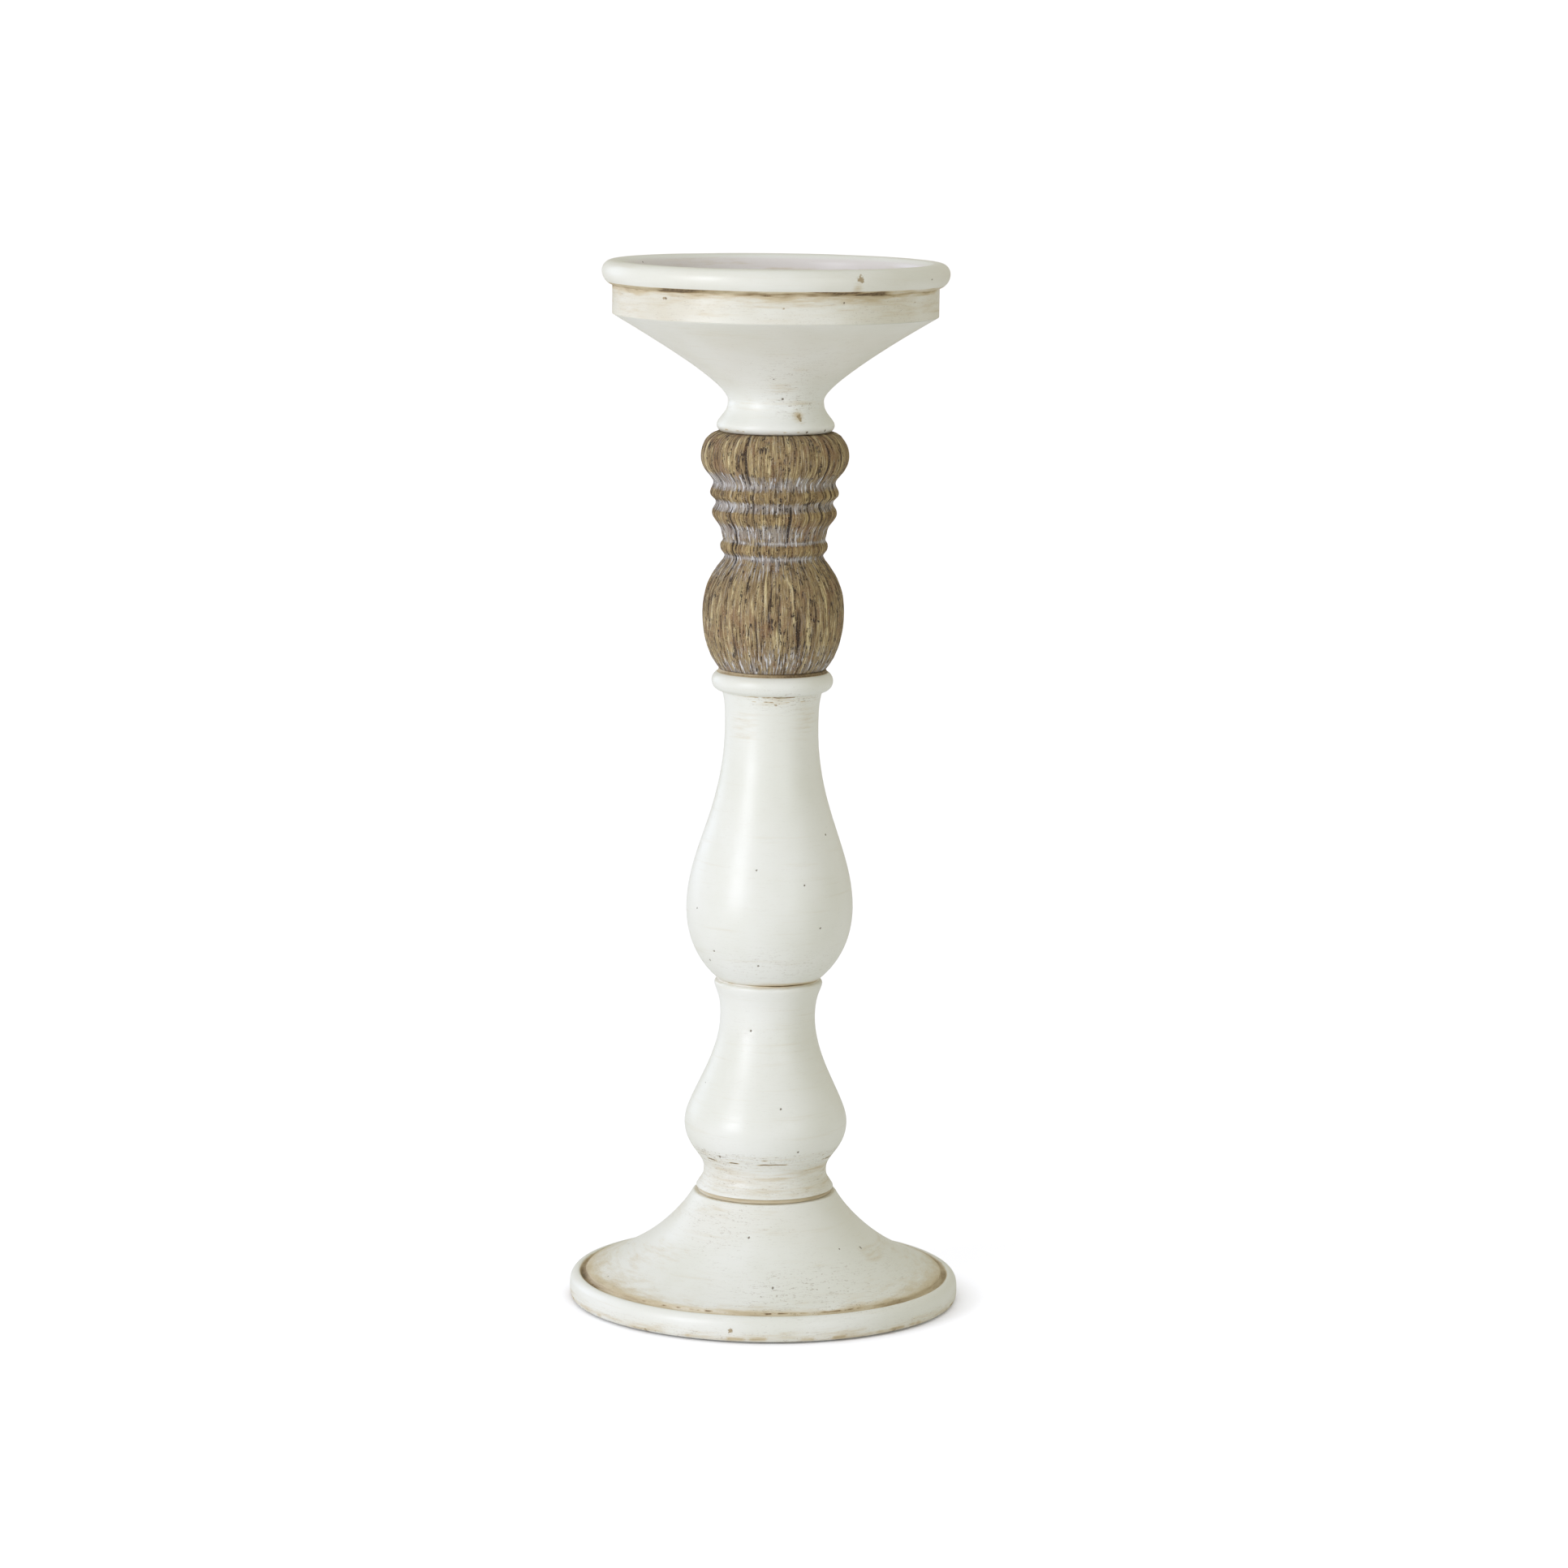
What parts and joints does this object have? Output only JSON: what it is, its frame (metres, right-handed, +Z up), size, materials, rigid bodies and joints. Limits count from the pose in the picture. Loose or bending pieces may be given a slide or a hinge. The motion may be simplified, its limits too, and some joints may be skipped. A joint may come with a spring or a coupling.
{
  "type": "pillar candlestick",
  "caption": "Turned pillar candlestick with a shallow dish, a bare wood stem between painted balusters, and a broad round base.",
  "frame": {"origin": "centre of the underside, where the felt pad meets the table", "axes": "+Z up along the turning axis; the piece is round, so +X and +Y are free, and the front is taken as -Y"},
  "size_m": [0.1334, 0.1334, 0.356],
  "materials": {
    "antique_white_paint": "antique white paint with brown glaze in the grooves, satin",
    "limed_wood": "weathered open-grained wood with grey lime wax in the coves",
    "zinc_plated_steel": "zinc plated",
    "felt": "pressed wool felt"
  },
  "bodies": {
    "root": {"felt_pad": "felt", "base": "antique_white_paint", "lower_baluster": "antique_white_paint", "upper_baluster": "antique_white_paint", "bare_wood_stem": "limed_wood", "drip_dish": "antique_white_paint", "rim_hoop": "antique_white_paint", "floor_plug": "antique_white_paint", "tie_rod": "zinc_plated_steel", "bottom_nut": "zinc_plated_steel", "spring_washer": "zinc_plated_steel", "bottom_washer": "zinc_plated_steel", "top_washer": "zinc_plated_steel", "top_nut": "zinc_plated_steel"}
  },
  "joints": []
}
